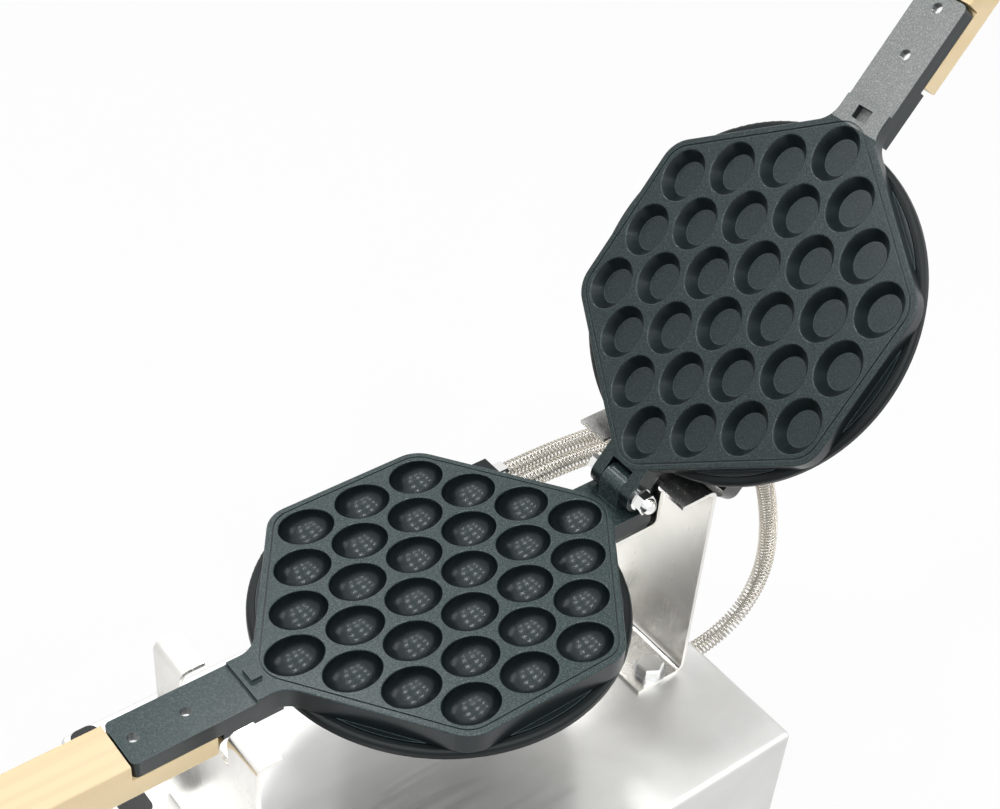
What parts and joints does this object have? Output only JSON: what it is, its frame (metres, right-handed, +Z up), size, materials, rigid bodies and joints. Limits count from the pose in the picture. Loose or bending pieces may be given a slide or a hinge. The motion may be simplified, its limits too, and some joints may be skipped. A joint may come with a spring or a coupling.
{
  "type": "egg waffle pan",
  "caption": "Hinged egg waffle pan with two round-backed cast moulds and wooden handles, carried by sheet supports on a heated base cabinet.",
  "frame": {"origin": "on the floor under the centre of the lower pan", "axes": "+X from the handles towards the hinge, +Z up"},
  "size_m": [0.688, 0.206, 0.6113],
  "materials": {
    "cabinet_steel": "satin",
    "bent_steel": "polished",
    "bright_steel": "polished",
    "zinc_steel": "satin",
    "cast_pan": "matte",
    "dish": "matte",
    "pine": "satin",
    "rubber": "matte",
    "black_plastic": "matte",
    "gloss_black": "glossy",
    "red_lens": "glossy",
    "green_lens": "glossy",
    "conduit_steel": "satin",
    "wool": "matte",
    "ceramic": "matte"
  },
  "bodies": {
    "base": {"base_cabinet": "cabinet_steel", "base_front_panel": "cabinet_steel", "base_rear_panel": "cabinet_steel", "base_bottom_plate": "zinc_steel", "rubber_feet": "rubber", "foot_screws": "zinc_steel", "front_support": "bent_steel", "rear_support": "bent_steel", "support_washers": "zinc_steel", "support_bolts": "bright_steel", "support_nuts": "zinc_steel", "label_plate": "gloss_black", "thermostat_body": "zinc_steel", "timer_body": "zinc_steel", "switch_housing": "black_plastic", "power_lamp": "red_lens", "heating_lamp": "green_lens", "power_inlet": "black_plastic", "inlet_screws": "zinc_steel", "terminal_block": "ceramic", "rear_glands": "bright_steel", "rear_gland_nuts": "zinc_steel", "lower_pan_glands": "bright_steel", "lower_heater_conduit": "conduit_steel", "sensor_conduit": "conduit_steel", "upper_heater_conduit": "conduit_steel", "lower_mould": "cast_pan", "lower_housing": "dish", "lower_heating_element": "zinc_steel", "lower_insulation": "wool", "lower_housing_screws": "zinc_steel", "temperature_bulb": "bright_steel", "lower_handle": "pine", "lower_handle_screws": "bright_steel"},
    "upper_pan": {"upper_mould": "cast_pan", "upper_housing": "dish", "upper_heating_element": "zinc_steel", "upper_insulation": "wool", "upper_housing_screws": "zinc_steel", "upper_pan_gland": "bright_steel", "upper_gland_nut": "zinc_steel", "upper_cable_cover": "black_plastic", "cover_screws": "zinc_steel", "upper_handle": "pine", "upper_handle_screws": "bright_steel", "hinge_bolt": "bright_steel", "hinge_washers": "bright_steel", "hinge_nut": "bright_steel"},
    "thermostat_dial": {"thermostat_spindle": "bright_steel", "thermostat_knob": "black_plastic"},
    "timer_dial": {"timer_spindle": "bright_steel", "timer_knob": "black_plastic"},
    "rocker": {"switch_rocker": "gloss_black"}
  },
  "joints": [
    {"name": "lid_hinge", "type": "hinge", "parent": "base", "child": "upper_pan", "pos_m": [0.108, 0, 0.2798], "axis": [0, 1, 0], "range_deg": [-128.3, 0]},
    {"name": "thermostat_turn", "type": "hinge", "parent": "base", "child": "thermostat_dial", "pos_m": [-0.1518, 0.006, 0.086], "axis": [-1, 0, 0], "range_deg": [-270, 0]},
    {"name": "timer_turn", "type": "hinge", "parent": "base", "child": "timer_dial", "pos_m": [-0.1518, -0.054, 0.086], "axis": [-1, 0, 0], "range_deg": [-300, 0]},
    {"name": "rocker_tilt", "type": "hinge", "parent": "base", "child": "rocker", "pos_m": [-0.1498, 0.064, 0.086], "axis": [0, 1, 0], "range_deg": [0, 16]}
  ]
}
